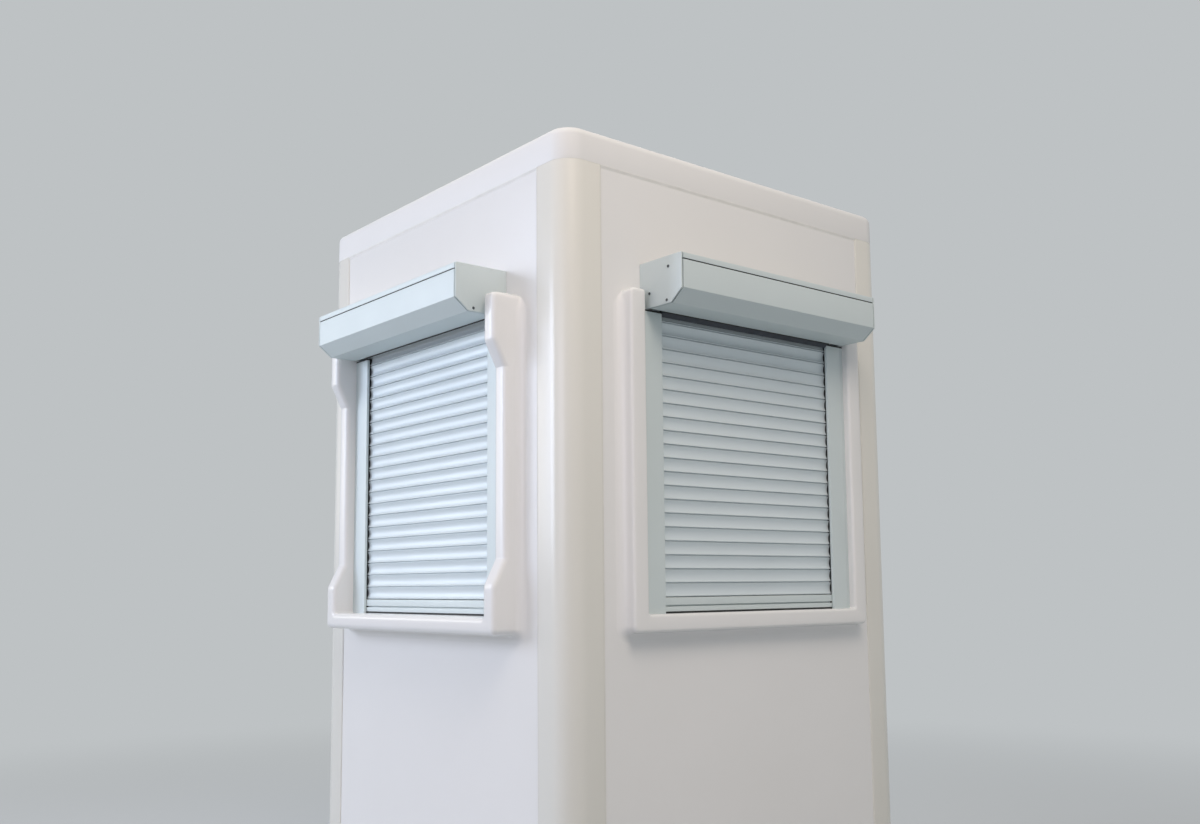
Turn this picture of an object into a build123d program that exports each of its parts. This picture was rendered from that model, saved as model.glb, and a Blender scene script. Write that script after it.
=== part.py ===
"""Security guard booth: a square moulded cabin with shuttered windows and a back door.

Millimetres, +Z up. The origin is the middle of the underside, on the ground. The front wall
faces -Y and the left wall faces -X.
"""

import os
from math import ceil

from build123d import *

os.makedirs("parts", exist_ok=True)

# Body
body_width = 1305.0
total_height = 2300.0
corner_radius = 65.0
corner_leg = 121.0
wall_thickness = 45.0
panel_inset = 3.0

# Base and floor
base_height = 80.0
base_beam_width = 60.0
base_inset = 20.0
floor_thickness = 30.0

# Roof
rim_height = 91.0
roof_thickness = 40.0
roof_edge_radius = 24.0

# Windows: the height of the shutter's opening, the wall left beside the surround and over the
# shutter box, and how far each window lies off its wall's middle
window_height = 806.0
surround_side = 61.5
box_drop = 247.0
front_window_shift = 5.5
left_window_shift = -12.5
left_window_drop = 4.0

# Guide rails, with a slot for the curtain's edge
rail_width = 75.0
rail_back = 2.0
rail_front = 8.0
rail_slot = 12.0
rail_slot_depth = 25.0

# Curtain and bottom bar
slat_pitch = 37.0
slat_hollow = 4.0
slat_joint_width = 2.0
slat_joint_depth = 3.0
curtain_tuck = 40.0
curtain_edge_clearance = 6.0
curtain_face_clearance = 1.0
bar_height = 43.0
bar_groove_height = 20.0
bar_groove_width = 3.0
bar_groove_depth = 3.0

# Shutter boxes
box_end_gap = 16.0
box_height = 127.0
box_depth = 163.0
box_front_height = 94.0
box_chamfer_depth = 42.0
box_sheet = 4.0
box_slot = 34.0
box_groove_drop = 17.0
box_groove_width = 2.5
box_groove_depth = 2.0
box_entry_clearance = 15.0
cap_thickness = 4.0

# Moulded surrounds: plain ones, and one whose cheeks step back between sloped shoulders
cheek_width = 53.0
cheek_height = 855.0
sill_front_height = 47.0
surround_corner_radius = 18.0
surround_edge_radius = 9.0
plain_depth = 44.0
stepped_depth = 88.0
recess_depth = 52.0
recess_foot = 150.0
recess_top = 655.0
recess_slope = 70.0
shoulder_radius = 40.0
recess_radius = 8.0

# Doorway, and the wall left beside and over it
doorway_side = 121.5
doorway_head = 139.0
frame_width = 40.0
frame_proud = 5.0
threshold_height = 20.0
leaf_thickness = 40.0
leaf_clearance = 4.0

# Hinges
hinge_height = 100.0
hinge_plate_width = 56.0
hinge_plate_thickness = 3.0
hinge_barrel_radius = 7.0
hinge_end_distance = 250.0

# Lever handle
handle_height = 1000.0
handle_edge_distance = 60.0
handle_plate_width = 42.0
handle_plate_height = 210.0
handle_plate_thickness = 8.0
lever_width = 20.0
lever_thickness = 12.0
lever_reach = 40.0
lever_length = 130.0

# Places that follow from the sizes above
half_width = body_width / 2
floor_top = base_height + floor_thickness
wall_top = total_height - rim_height
wall_height = wall_top - floor_top
panel_width = body_width - 2 * corner_leg
panel_thickness = wall_thickness - panel_inset
doorway_width = panel_width - 2 * doorway_side
doorway_height = wall_height - doorway_head
box_top = wall_top - box_drop
window_top = box_top - box_height
sill_height = window_top - window_height
window_middle = sill_height + window_height / 2
rail_thickness = rail_back + rail_slot + rail_front
rail_outer = panel_width / 2 - surround_side - cheek_width
window_width = 2 * (rail_outer - rail_width)
box_length = 2 * (rail_outer - box_end_gap)
curtain_back = rail_back + curtain_face_clearance
curtain_crest = rail_back + rail_slot - curtain_face_clearance
curtain_width = window_width + 2 * (rail_slot_depth - curtain_edge_clearance)
curtain_foot = sill_height + bar_height
slat_count = ceil((window_height - bar_height + curtain_tuck) / slat_pitch)
curtain_top = curtain_foot + slat_count * slat_pitch


def save(builder, label):
    """Names a finished piece and writes it to a file of its own."""
    builder.part.label = label
    export_step(builder.part, f"parts/{label}.step")


def face_plane(outward, along):
    """Outer face of a wall panel, from ground level: X along the wall, Y up, Z outward."""
    origin = Vector(*outward) * (half_width - panel_inset)
    return Plane(origin=origin, x_dir=along, z_dir=outward)


def window_plane(face, shift, drop=0):
    """The face of a wall moved along it and down, for a window that isn't in the middle."""
    return Plane(
        origin=face.origin + face.x_dir * shift - face.y_dir * drop,
        x_dir=face.x_dir,
        z_dir=face.z_dir,
    )


def section_plane(face, shift=0):
    """Upright section across a wall: X outward, Y up, moved along the wall by shift."""
    return Plane(
        origin=face.origin + face.x_dir * shift,
        x_dir=face.z_dir,
        z_dir=face.z_dir.cross(face.y_dir),
    )


front = face_plane((0, -1, 0), (1, 0, 0))
left = face_plane((-1, 0, 0), (0, -1, 0))
right = face_plane((1, 0, 0), (0, 1, 0))
back = face_plane((0, 1, 0), (-1, 0, 0))
wall_faces = {"front": front, "left": left, "right": right}
window_faces = {
    "front": window_plane(front, front_window_shift),
    "left": window_plane(left, left_window_shift, left_window_drop),
    "right": right,
}

# Base: two beams along the front and back, two between them and one across the middle
base_reach = half_width - base_inset
beam_offset = base_reach - base_beam_width / 2
long_beam = 2 * base_reach
short_beam = long_beam - 2 * base_beam_width
beams = {
    "base_beam_front": (0, -beam_offset, long_beam, base_beam_width),
    "base_beam_back": (0, beam_offset, long_beam, base_beam_width),
    "base_beam_left": (-beam_offset, 0, base_beam_width, short_beam),
    "base_beam_right": (beam_offset, 0, base_beam_width, short_beam),
    "base_beam_middle": (0, 0, short_beam, base_beam_width),
}
for label, (x, y, size_x, size_y) in beams.items():
    with BuildPart() as beam:
        with BuildSketch():
            with Locations((x, y)):
                Rectangle(size_x, size_y)
        extrude(amount=base_height)
    save(beam, label)

# Floor: one plate with the outline of the body, carried by the beams
with BuildPart() as floor:
    with BuildSketch(Plane.XY.offset(base_height)):
        RectangleRounded(body_width, body_width, corner_radius)
    extrude(amount=floor_thickness)
save(floor, "floor")

# Corner posts: rounded angle pieces that stand on the floor
corners = {
    "front_left_post": (-1, -1),
    "front_right_post": (1, -1),
    "back_right_post": (1, 1),
    "back_left_post": (-1, 1),
}
room_width = body_width - 2 * wall_thickness
room_corner_radius = corner_radius - wall_thickness
post_offset = half_width - corner_leg / 2
for label, (side_x, side_y) in corners.items():
    with BuildPart() as post:
        with BuildSketch(Plane.XY.offset(floor_top)):
            RectangleRounded(body_width, body_width, corner_radius)
            RectangleRounded(room_width, room_width, room_corner_radius, mode=Mode.SUBTRACT)
            with Locations((side_x * post_offset, side_y * post_offset)):
                Rectangle(corner_leg, corner_leg, mode=Mode.INTERSECT)
        extrude(amount=wall_height)
    save(post, label)

# Window walls: flat panels between the posts, cut through between the guide rails
for side, face in wall_faces.items():
    with BuildPart() as wall:
        with BuildSketch(face):
            with Locations((0, floor_top + wall_height / 2)):
                Rectangle(panel_width, wall_height)
        extrude(amount=-panel_thickness)
        with BuildSketch(window_faces[side]):
            with Locations((0, window_middle)):
                Rectangle(window_width, window_height)
        extrude(amount=-panel_thickness, mode=Mode.SUBTRACT)
    save(wall, f"{side}_wall")

# Back wall: the same panel with the doorway cut down to the floor
with BuildPart() as back_wall:
    with BuildSketch(back):
        with Locations((0, floor_top + wall_height / 2)):
            Rectangle(panel_width, wall_height)
        with Locations((0, floor_top + doorway_height / 2)):
            Rectangle(doorway_width, doorway_height, mode=Mode.SUBTRACT)
    extrude(amount=-panel_thickness)
save(back_wall, "back_wall")

# Roof: a flat cap, hollow below, whose rim sits on the posts and panels
with BuildPart() as roof:
    with BuildSketch(Plane.XY.offset(wall_top)):
        RectangleRounded(body_width, body_width, corner_radius)
    extrude(amount=rim_height)
    fillet(roof.faces().sort_by(Axis.Z)[-1].edges(), radius=roof_edge_radius)
    with BuildSketch(Plane.XY.offset(wall_top)):
        RectangleRounded(room_width, room_width, room_corner_radius)
    extrude(amount=rim_height - roof_thickness, mode=Mode.SUBTRACT)
save(roof, "roof")

# Surrounds: a moulded U of two cheeks and a sill, its front edges rounded
surround_foot = sill_height - sill_front_height
surround_top = sill_height + cheek_height
surround_width = 2 * (rail_outer + cheek_width)
upright_share = 0.3


def u_outline(face):
    """Front view of a surround on its wall."""
    with BuildSketch(face, mode=Mode.PRIVATE) as outline:
        with Locations((0, (surround_foot + surround_top) / 2)):
            RectangleRounded(surround_width, surround_top - surround_foot, surround_corner_radius)
        with Locations((0, sill_height + cheek_height / 2)):
            Rectangle(2 * rail_outer, cheek_height, mode=Mode.SUBTRACT)
    return outline.sketch


def front_rim(builder, face):
    """Edges where the front of a surround meets its sides."""
    fronts = builder.faces().filter_by(lambda f: f.normal_at().dot(face.z_dir) > upright_share)
    edges = fronts.edges()
    return [edge for edge in edges if sum(edge.is_same(other) for other in edges) == 1]


for side in ("front", "right"):
    face = window_faces[side]
    with BuildPart() as plain_surround:
        extrude(u_outline(face), amount=plain_depth)
        fillet(front_rim(plain_surround, face), radius=surround_edge_radius)
    save(plain_surround, f"{side}_window_surround")

left_window = window_faces["left"]
with BuildPart() as stepped_surround:
    with BuildSketch(section_plane(left_window)) as cheek_profile:
        with BuildLine():
            Polyline(
                (0, surround_foot),
                (stepped_depth, surround_foot),
                (stepped_depth, sill_height + recess_foot - recess_slope),
                (recess_depth, sill_height + recess_foot),
                (recess_depth, sill_height + recess_top),
                (stepped_depth, sill_height + recess_top + recess_slope),
                (stepped_depth, surround_top),
                (0, surround_top),
                close=True,
            )
        make_face()
        inner_corners = cheek_profile.vertices().sort_by(Axis.Y)[2:-2]
        fillet(inner_corners.group_by(Axis.X)[-1], radius=shoulder_radius)
        fillet(inner_corners.group_by(Axis.X)[0], radius=recess_radius)
    extrude(amount=surround_width / 2, both=True)
    extrude(u_outline(left_window), amount=stepped_depth, mode=Mode.INTERSECT)
    fillet(front_rim(stepped_surround, left_window), radius=surround_edge_radius)
save(stepped_surround, "left_window_surround")

# Guide rails: upright bars on the wall beside each window, slotted for the curtain, and named
# left and right as seen from outside
for side, face in window_faces.items():
    for end, hand in (("left", -1), ("right", 1)):
        with BuildPart() as rail:
            with BuildSketch(face):
                with Locations((hand * (rail_outer - rail_width / 2), window_middle)):
                    Rectangle(rail_width, window_height)
            extrude(amount=rail_thickness)
            with BuildSketch(face.offset(rail_back)):
                with Locations((hand * (window_width + rail_slot_depth) / 2, window_middle)):
                    Rectangle(rail_slot_depth, window_height)
            extrude(amount=rail_slot, mode=Mode.SUBTRACT)
        save(rail, f"{side}_rail_{end}")

# Curtains: slats hollow to the outside, with a groove at each joint
joint_floor = curtain_crest - slat_joint_depth
slat_middle = curtain_crest - slat_hollow
for side, face in window_faces.items():
    with BuildPart() as curtain:
        with BuildSketch(section_plane(face)):
            with BuildLine():
                Polyline(
                    (joint_floor, curtain_foot),
                    (curtain_back, curtain_foot),
                    (curtain_back, curtain_top),
                    (joint_floor, curtain_top),
                )
                for slat in range(slat_count):
                    foot = curtain_foot + slat * slat_pitch
                    low = foot + slat_joint_width / 2
                    high = foot + slat_pitch - slat_joint_width / 2
                    middle = (low + high) / 2
                    Polyline((joint_floor, foot), (joint_floor, low), (curtain_crest, low))
                    ThreePointArc((curtain_crest, low), (slat_middle, middle), (curtain_crest, high))
                    Polyline((curtain_crest, high), (joint_floor, high), (joint_floor, foot + slat_pitch))
            make_face()
        extrude(amount=curtain_width / 2, both=True)
    save(curtain, f"{side}_curtain")

# Bottom bars: a grooved bar under each curtain, standing on the sill
bar_depth = curtain_crest - curtain_back
for side, face in window_faces.items():
    with BuildPart() as bar:
        with BuildSketch(section_plane(face)):
            with Locations((curtain_back + bar_depth / 2, sill_height + bar_height / 2)):
                Rectangle(bar_depth, bar_height)
            with Locations((curtain_crest - bar_groove_depth / 2, sill_height + bar_groove_height)):
                Rectangle(bar_groove_depth, bar_groove_width, mode=Mode.SUBTRACT)
        extrude(amount=curtain_width / 2, both=True)
    save(bar, f"{side}_bottom_bar")

# Shutter boxes: a folded sheet with a chamfered front, open below at the wall for the curtain
box_shell_length = box_length - 2 * cap_thickness
box_entry_height = curtain_top - window_top + box_entry_clearance
box_corners = [
    (0, window_top),
    (0, box_top),
    (box_depth, box_top),
    (box_depth, box_top - box_front_height),
    (box_depth - box_chamfer_depth, window_top),
]
for side, face in window_faces.items():
    with BuildPart() as box:
        with BuildSketch(section_plane(face)):
            with BuildLine():
                Polyline(*box_corners, close=True)
            make_face()
            offset(amount=-box_sheet, mode=Mode.SUBTRACT)
            with Locations((0, window_top)):
                Rectangle(box_slot, box_entry_height, align=Align.MIN, mode=Mode.SUBTRACT)
            with Locations((box_depth, box_top - box_groove_drop)):
                Rectangle(2 * box_groove_depth, box_groove_width, mode=Mode.SUBTRACT)
        extrude(amount=box_shell_length / 2, both=True)
    save(box, f"{side}_shutter_box")

# End caps: flat plates that close the shutter boxes, named as seen from outside
for side, face in window_faces.items():
    for end, hand in (("left", -1), ("right", 1)):
        with BuildPart() as cap:
            with BuildSketch(section_plane(face, hand * box_shell_length / 2)):
                with BuildLine():
                    Polyline(*box_corners, close=True)
                make_face()
            extrude(amount=cap_thickness, dir=face.x_dir * hand)
        save(cap, f"{side}_box_cap_{end}")

# Door frame: two jambs and a head that line the doorway
frame_depth = panel_thickness + frame_proud
doorway_middle = floor_top + doorway_height / 2
clear_width = doorway_width - 2 * frame_width
clear_height = doorway_height - frame_width
with BuildPart() as door_frame:
    with BuildSketch(back.offset(frame_proud)):
        with Locations((0, doorway_middle)):
            Rectangle(doorway_width, doorway_height)
        with Locations((0, floor_top + clear_height / 2)):
            Rectangle(clear_width, clear_height, mode=Mode.SUBTRACT)
    extrude(amount=-frame_depth)
save(door_frame, "door_frame")

# Threshold: a strip on the floor between the jambs
with BuildPart() as threshold:
    with BuildSketch(back.offset(frame_proud)):
        with Locations((0, floor_top + threshold_height / 2)):
            Rectangle(clear_width, threshold_height)
    extrude(amount=-frame_depth)
save(threshold, "threshold")

# Door leaf: a flat panel that fills the frame with an even gap
leaf_width = clear_width - 2 * leaf_clearance
leaf_foot = floor_top + threshold_height + leaf_clearance
leaf_top = floor_top + clear_height - leaf_clearance
with BuildPart() as door_leaf:
    with BuildSketch(back.offset(frame_proud)):
        with Locations((0, (leaf_foot + leaf_top) / 2)):
            Rectangle(leaf_width, leaf_top - leaf_foot)
    extrude(amount=-leaf_thickness)
save(door_leaf, "door_leaf")

# Hinges: a plate over the gap between leaf and jamb, with an upright barrel on it
hinge_line = (clear_width - leaf_clearance) / 2
barrel_out = frame_proud + hinge_plate_thickness / 2 + hinge_barrel_radius
hinge_heights = {
    "hinge_lower": leaf_foot + hinge_end_distance,
    "hinge_upper": leaf_top - hinge_end_distance,
}
for label, height in hinge_heights.items():
    with BuildPart() as hinge:
        with BuildSketch(back.offset(frame_proud)):
            with Locations((hinge_line, height)):
                Rectangle(hinge_plate_width, hinge_height)
        extrude(amount=hinge_plate_thickness)
        barrel_foot = back.from_local_coords((hinge_line, height - hinge_height / 2, barrel_out))
        with BuildSketch(Plane.XY.offset(barrel_foot.Z)):
            with Locations((barrel_foot.X, barrel_foot.Y)):
                Circle(hinge_barrel_radius)
        extrude(amount=hinge_height)
    save(hinge, label)

# Lever handle: a tall plate, a round neck and a flat lever that points to the hinges
handle_line = handle_edge_distance - leaf_width / 2
lever_middle = handle_line + (lever_length - lever_width) / 2
handle_middle = floor_top + handle_height
with BuildPart() as handle:
    with BuildSketch(back.offset(frame_proud)):
        with Locations((handle_line, handle_middle)):
            Rectangle(handle_plate_width, handle_plate_height)
    extrude(amount=handle_plate_thickness)
    with BuildSketch(back.offset(frame_proud)):
        with Locations((handle_line, handle_middle)):
            Circle(lever_width / 2)
    extrude(amount=handle_plate_thickness + lever_reach)
    with BuildSketch(back.offset(frame_proud + handle_plate_thickness + lever_reach)):
        with Locations((lever_middle, handle_middle)):
            SlotOverall(lever_length, lever_width)
    extrude(amount=lever_thickness)
save(handle, "door_handle")
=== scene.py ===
from math import atan2, cos, pi, radians, sin, sqrt, tan

import bmesh
import bpy
from mathutils import Matrix, Vector


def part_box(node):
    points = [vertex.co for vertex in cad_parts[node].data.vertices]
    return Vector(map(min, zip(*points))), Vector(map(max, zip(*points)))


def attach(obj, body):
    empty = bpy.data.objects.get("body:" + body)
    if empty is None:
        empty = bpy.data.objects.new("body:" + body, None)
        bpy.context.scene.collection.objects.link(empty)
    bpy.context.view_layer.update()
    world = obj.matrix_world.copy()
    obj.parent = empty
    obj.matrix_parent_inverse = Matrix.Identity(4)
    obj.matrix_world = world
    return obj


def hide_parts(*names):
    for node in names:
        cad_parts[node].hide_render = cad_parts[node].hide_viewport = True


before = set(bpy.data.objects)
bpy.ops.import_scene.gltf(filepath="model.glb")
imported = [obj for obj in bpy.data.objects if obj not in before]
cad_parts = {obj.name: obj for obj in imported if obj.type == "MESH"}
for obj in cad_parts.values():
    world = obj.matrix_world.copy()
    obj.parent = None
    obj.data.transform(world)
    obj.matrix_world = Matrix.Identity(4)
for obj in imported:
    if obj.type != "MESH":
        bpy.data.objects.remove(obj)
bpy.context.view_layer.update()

# Base frame
# Five lengths of steel tube welded into a frame that carries the floor. They are painted matt
# dark grey, which dulls with dust and road dirt.
mm = 0.001
tube_edge = 6 * mm


def linear(code):
    """Linear colour of an sRGB hex code."""
    parts = [int(code[i : i + 2], 16) / 255 for i in (1, 3, 5)]
    return [c / 12.92 if c <= 0.04045 else ((c + 0.055) / 1.055) ** 2.4 for c in parts] + [1]


def add_node(tree, kind, inputs={}, **settings):
    """Adds a node. An input is a value, a socket to link, or a node whose first output is linked."""
    node = tree.nodes.new(kind)
    for name, value in settings.items():
        setattr(node, name, value)
    for socket, value in inputs.items():
        if isinstance(value, bpy.types.Node):
            value = value.outputs[0]
        if isinstance(value, bpy.types.NodeSocket):
            tree.links.new(value, node.inputs[socket])
        else:
            node.inputs[socket].default_value = value
    return node


def lay_over(finish, share, colour, first=None):
    """Lays a colour over a first one, or over what a finish has so far, as far as share says."""
    tree = finish.node_tree
    base = tree.nodes["Principled BSDF"].inputs["Base Color"]
    below = linear(first) if first else base.links[0].from_socket
    mixed = add_node(tree, "ShaderNodeMix", {0: share, 6: below, 7: linear(colour)}, data_type="RGBA")
    tree.links.new(mixed.outputs[2], base)


def add_grain(finish, size, detail, strength, depth=0.2 * mm):
    """Gives a finish a fine grain of a size and a depth."""
    tree = finish.node_tree
    place = tree.nodes["place"].outputs["Object"]
    grain = add_node(tree, "ShaderNodeTexNoise", {"Vector": place, "Scale": 1 / size, "Detail": detail})
    bump = add_node(tree, "ShaderNodeBump", {"Strength": strength, "Distance": depth, "Height": grain})
    tree.links.new(bump.outputs[0], tree.nodes["Principled BSDF"].inputs["Normal"])


def new_finish(name, light, shade, size, detail, roughness, metallic=0.0, cover=None, span=(0, 1)):
    """A finish of two colours that run into each other in soft patches.

    The size of the patches is one length or three. The cover tells where in their noise the second
    colour starts and is full, and how strong it is. Two roughnesses follow a span of the noise.
    """
    finish = bpy.data.materials.new(name)
    finish.use_nodes = True
    tree = finish.node_tree
    shader = tree.nodes["Principled BSDF"].inputs
    shader["Metallic"].default_value = metallic
    scale = [1 / length for length in (size if isinstance(size, tuple) else (size,) * 3)]
    place = add_node(tree, "ShaderNodeTexCoord", name="place").outputs["Object"]
    drawn = add_node(tree, "ShaderNodeMapping", {"Vector": place, "Scale": scale})
    noise = {"Vector": drawn, "Scale": 1.0, "Detail": detail}
    share = patches = add_node(tree, "ShaderNodeTexNoise", noise, name="patches")
    if cover:
        start, full, most = cover
        share = add_node(tree, "ShaderNodeMapRange", {0: patches, 1: start, 2: full, 3: 0.0, 4: most})
    lay_over(finish, share, shade, light)
    if isinstance(roughness, tuple):
        follow = {0: patches, 1: span[0], 2: span[1], 3: roughness[0], 4: roughness[1]}
        level = add_node(tree, "ShaderNodeMapRange", follow)
        tree.links.new(level.outputs[0], shader["Roughness"])
    else:
        shader["Roughness"].default_value = roughness
    return finish


def walk(corners):
    """Goes round an outline, its inside on the left. A corner is (a, b) or (a, b, radius), and
    gives its place, the ways to it and from it, and its radius."""
    corners = [(*corner, 0)[:3] for corner in corners]
    area = sum(p[0] * q[1] - q[0] * p[1] for p, q in zip(corners, corners[1:] + corners[:1]))
    corners = corners if area > 0 else corners[::-1]
    places = [Vector((a, b)) for a, b, _ in corners]
    for i, here in enumerate(places):
        after = places[(i + 1) % len(places)]
        yield here, (here - places[i - 1]).normalized(), (after - here).normalized(), corners[i][2]


def oblong(left, low, right, high, *radii):
    """The corners of a rectangle from the lower left on, with one radius for all or one for each."""
    places = ((left, low), (right, low), (right, high), (left, high))
    radii = radii if len(radii) == 4 else (radii or (0,)) * 4
    return [(*place, radius) for place, radius in zip(places, radii)]


def quarter(steps):
    """Angles from zero to a right angle."""
    return [pi / 2 * step / steps for step in range(steps + 1)]


def easing(edge, steps):
    """How far in and how far back a rounded edge lies, from the side round to the face."""
    return [(edge * (1 - cos(t)), edge * (1 - sin(t))) for t in quarter(steps)]


def inset(corners, depth):
    """An outline moved inwards by depth."""
    moved = []
    for here, before, after, radius in walk(corners):
        side_1, side_2 = Vector((-before.y, before.x)), Vector((-after.y, after.x))
        place = here + (side_1 + side_2) * depth / (1 + side_1.dot(side_2))
        if radius:
            radius = max(radius - depth if before.cross(after) > 0 else radius + depth, 0.01 * mm)
        moved.append((place.x, place.y, radius))
    return moved


def rounded(corners, steps=5):
    """Points of an outline whose corners are rounded."""
    points = []
    for here, before, after, radius in walk(corners):
        if not radius:
            points.append(here)
            continue
        half = (-before).angle(after) / 2
        centre = here + (after - before).normalized() * radius / sin(half)
        start = here - before * radius / tan(half) - centre
        end = here + after * radius / tan(half) - centre
        first = atan2(start.y, start.x)
        turn = (atan2(end.y, end.x) - first + pi) % (2 * pi) - pi
        for step in range(steps + 1):
            angle = first + turn * step / steps
            points.append(centre + radius * Vector((cos(angle), sin(angle))))
    return points


def loft(rings):
    """A closed skin over rings of points, with a flat face on the first and the last."""
    count = len(rings[0])
    points = [point for ring in rings for point in ring]
    faces = []
    for low in range(0, len(points) - count, count):
        high = low + count
        for i in range(count):
            j = (i + 1) % count
            faces.append((low + i, low + j, high + j, high + i))
    faces.append(tuple(range(count)))
    faces.append(tuple(range(len(points) - count, len(points))))
    return points, faces


def slab(corners, at, start, end, edge=0, steps=3, corner_steps=5):
    """An outline run from start to end, set in place by at(a, b, run), its end edges rounded."""
    way = 1 if end > start else -1
    levels = [(0, start), (0, end)]
    if edge:
        turns = easing(edge, steps)
        levels = [(depth, start + way * back) for depth, back in turns[::-1]]
        levels += [(depth, end - way * back) for depth, back in turns]
    rings = []
    for depth, run in levels:
        rings.append([at(a, b, run) for a, b in rounded(inset(corners, depth), corner_steps)])
    return loft(rings)


def link_object(name, data):
    """A new object in the scene."""
    made = bpy.data.objects.new(name, data)
    bpy.context.scene.collection.objects.link(made)
    return made


def soften(mesh, sharp):
    """Smooth shading, except over edges sharper than an angle."""
    mesh.polygons.foreach_set("use_smooth", [True] * len(mesh.polygons))
    mesh.set_sharp_from_angle(angle=radians(sharp))


def piece(name, parts, finish, sharp=35):
    """One object of closed parts."""
    mesh = bpy.data.meshes.new(name)
    points, faces = [], []
    for part_points, part_faces in parts:
        faces += [[i + len(points) for i in face] for face in part_faces]
        points += part_points
    mesh.from_pydata(points, [], faces)
    shape = bmesh.new()
    shape.from_mesh(mesh)
    bmesh.ops.remove_doubles(shape, verts=shape.verts, dist=0.001 * mm)
    bmesh.ops.recalc_face_normals(shape, faces=shape.faces)
    shape.to_mesh(mesh)
    shape.free()
    soften(mesh, sharp)
    mesh.materials.append(finish)
    return link_object(name, mesh)


# Matt enamel on steel: a dark uneven coat that is paler where dust lies on it.
dusty = {"size": 60 * mm, "detail": 6.0, "cover": (0.45, 0.75, 0.5)}
steel_paint = new_finish("matt_enamel_on_steel", "#3C3F42", "#6B6964", roughness=0.55, **dusty)
add_grain(steel_paint, size=3 * mm, detail=2.0, strength=0.2)

base_nodes = [f"base_beam_{end}" for end in ("front", "back", "left", "right", "middle")]
tubes = []
for node in base_nodes:
    low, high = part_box(node)
    if high.x - low.x > high.y - low.y:
        corners = oblong(low.y, low.z, high.y, high.z, tube_edge)
        tubes.append(slab(corners, lambda a, b, run: Vector((run, a, b)), low.x, high.x))
    else:
        corners = oblong(low.x, low.z, high.x, high.z, tube_edge)
        tubes.append(slab(corners, lambda a, b, run: Vector((a, run, b)), low.y, high.y))
base_frame = piece("base_frame", tubes, steel_paint)
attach(base_frame, "root")
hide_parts(*base_nodes)

# Floor
# One board with a grey vinyl covering that is turned down over its edge. It lies on the base
# frame, and its edge shows as a band below the walls.
fleck_size = 4 * mm
flecks = {"size": fleck_size, "detail": 3.0, "cover": (0.55, 0.68, 0.8)}

# Sheet vinyl: a dull grey with small darker flecks and a fine pressed grain.
vinyl = new_finish("sheet_vinyl", "#7C7F80", "#5F6263", roughness=0.6, **flecks)
add_grain(vinyl, fleck_size, detail=3.0, strength=0.15)


def dress(node, finish):
    """Gives a construction node its finish."""
    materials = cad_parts[node].data.materials
    materials.clear()
    materials.append(finish)


dress("floor", vinyl)

# Corner posts
# Rounded angle mouldings of fibreglass with a warm white gelcoat. They stand on the floor at the
# four corners, and their long edges lap the wall panels with a soft rounded lip.
splash_brown = "#B9B0A0"
splash_head = 420 * mm
splash_foot = 100 * mm
splash_most = 0.3
glossy = (0.17, 0.26)
post_leg = 121 * mm
post_radius = 65 * mm
post_lip = 3.5 * mm
post_seam = 1.5 * mm
room_half = 607.5 * mm
room_corner = 20 * mm
smooth_steps = 16


def gelcoat_finish(name, light, shade, roughness):
    """Gelcoat that is faintly uneven in colour and shine, with soil splashed up near its foot."""
    finish = new_finish(name, light, shade, size=350 * mm, detail=3.0, roughness=roughness)
    tree = finish.node_tree
    place, clouds = tree.nodes["place"].outputs["Object"], tree.nodes["patches"]
    height = add_node(tree, "ShaderNodeSeparateXYZ", {0: place}).outputs["Z"]
    span = {0: height, 1: splash_head, 2: splash_foot, 3: 0.0, 4: splash_most}
    splash = add_node(tree, "ShaderNodeMapRange", span, interpolation_type="SMOOTHSTEP")
    broken = add_node(tree, "ShaderNodeMath", {0: splash, 1: clouds}, operation="MULTIPLY")
    lay_over(finish, broken, splash_brown)
    add_grain(finish, size=9 * mm, detail=2.0, strength=0.02, depth=0.3 * mm)
    return finish


# Aged gelcoat: smooth and glossy, and a little creamier than that of the walls.
cream_gelcoat = gelcoat_finish("warm_white_gelcoat", "#E1E0DA", "#DDDCD5", glossy)

for node in ("front_left_post", "front_right_post", "back_right_post", "back_left_post"):
    low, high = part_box(node)
    hand_x, hand_y = (1 if edge > 0 else -1 for edge in (low.x, low.y))
    outer = max(abs(high.x), abs(low.x))
    end = outer - post_leg
    corners = [(outer, outer, post_radius), (end, outer, post_lip), (end, room_half)]
    corners += [(room_half, room_half, room_corner), (room_half, end), (outer, end, post_lip)]
    shape = slab(
        corners, lambda a, b, run: Vector((hand_x * a, hand_y * b, run)), low.z, high.z, post_seam,
        corner_steps=smooth_steps,
    )
    post = piece(node.replace("_post", "_corner"), [shape], cream_gelcoat)
    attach(post, "root")
    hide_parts(node)

# Wall panels
# Flat fibreglass panels with a white gelcoat, set a little back between the posts and cut
# through for the windows and the door. Their outer skin carries everything fixed to the walls.
walls = {
    "front": (Vector((1, 0, 0)), Vector((0, -1, 0))),
    "left": (Vector((0, -1, 0)), Vector((-1, 0, 0))),
    "right": (Vector((0, 1, 0)), Vector((1, 0, 0))),
    "back": (Vector((-1, 0, 0)), Vector((0, 1, 0))),
}
wall_face = -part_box("front_wall")[0].y
whites = ("#E8E8E8", "#E4E4E3")

# White gelcoat: clean, smooth and glossy.
gelcoat = gelcoat_finish("white_gelcoat", *whites, glossy)

for side in walls:
    dress(f"{side}_wall", gelcoat)


def on_wall(side, middle=0, drop=0):
    """Gives the place of a point on a wall: out from its face, up, and along it from the middle."""
    along, outward = walls[side]

    def at(out, up, run):
        return outward * (wall_face + out) + along * (middle + run) + Vector((0, 0, up - drop))

    return at


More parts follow.
